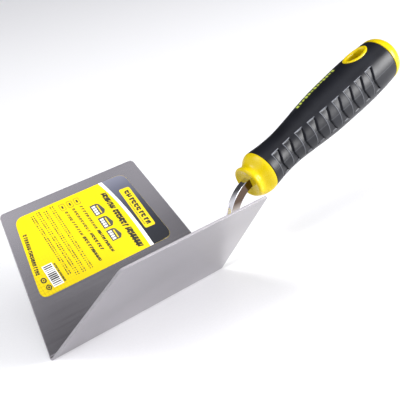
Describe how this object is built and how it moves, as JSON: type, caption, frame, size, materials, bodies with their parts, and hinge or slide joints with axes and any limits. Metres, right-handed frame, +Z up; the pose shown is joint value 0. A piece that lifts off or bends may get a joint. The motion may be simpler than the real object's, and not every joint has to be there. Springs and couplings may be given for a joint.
{
  "type": "inside corner trowel",
  "caption": "Inside corner trowel with a folded stainless blade, a cranked tang and a soft-grip handle in yellow and black.",
  "frame": {"origin": "under the middle of the whole trowel, at the level of the lowest line of the fold", "axes": "+X along the fold from the blade's free end towards the handle, +Z up out of the open side of the fold, Y across the two wings; the trowel is symmetric about Y = 0 apart from the label"},
  "size_m": [0.2428, 0.106, 0.0818],
  "materials": {
    "blade_steel": "satin rolled stainless sheet",
    "tang_steel": "bright nickel-plated steel",
    "weld_steel": "cleaned weld bead",
    "label_film": null,
    "core_plastic": "moulded polypropylene",
    "grip_rubber": "moulded thermoplastic elastomer with cut treads"
  },
  "bodies": {
    "root": {"blade": "blade_steel", "tang": "tang_steel", "weld_left": "weld_steel", "weld_right": "weld_steel", "label": "label_film", "handle_core": "core_plastic", "grip": "grip_rubber"}
  },
  "joints": []
}
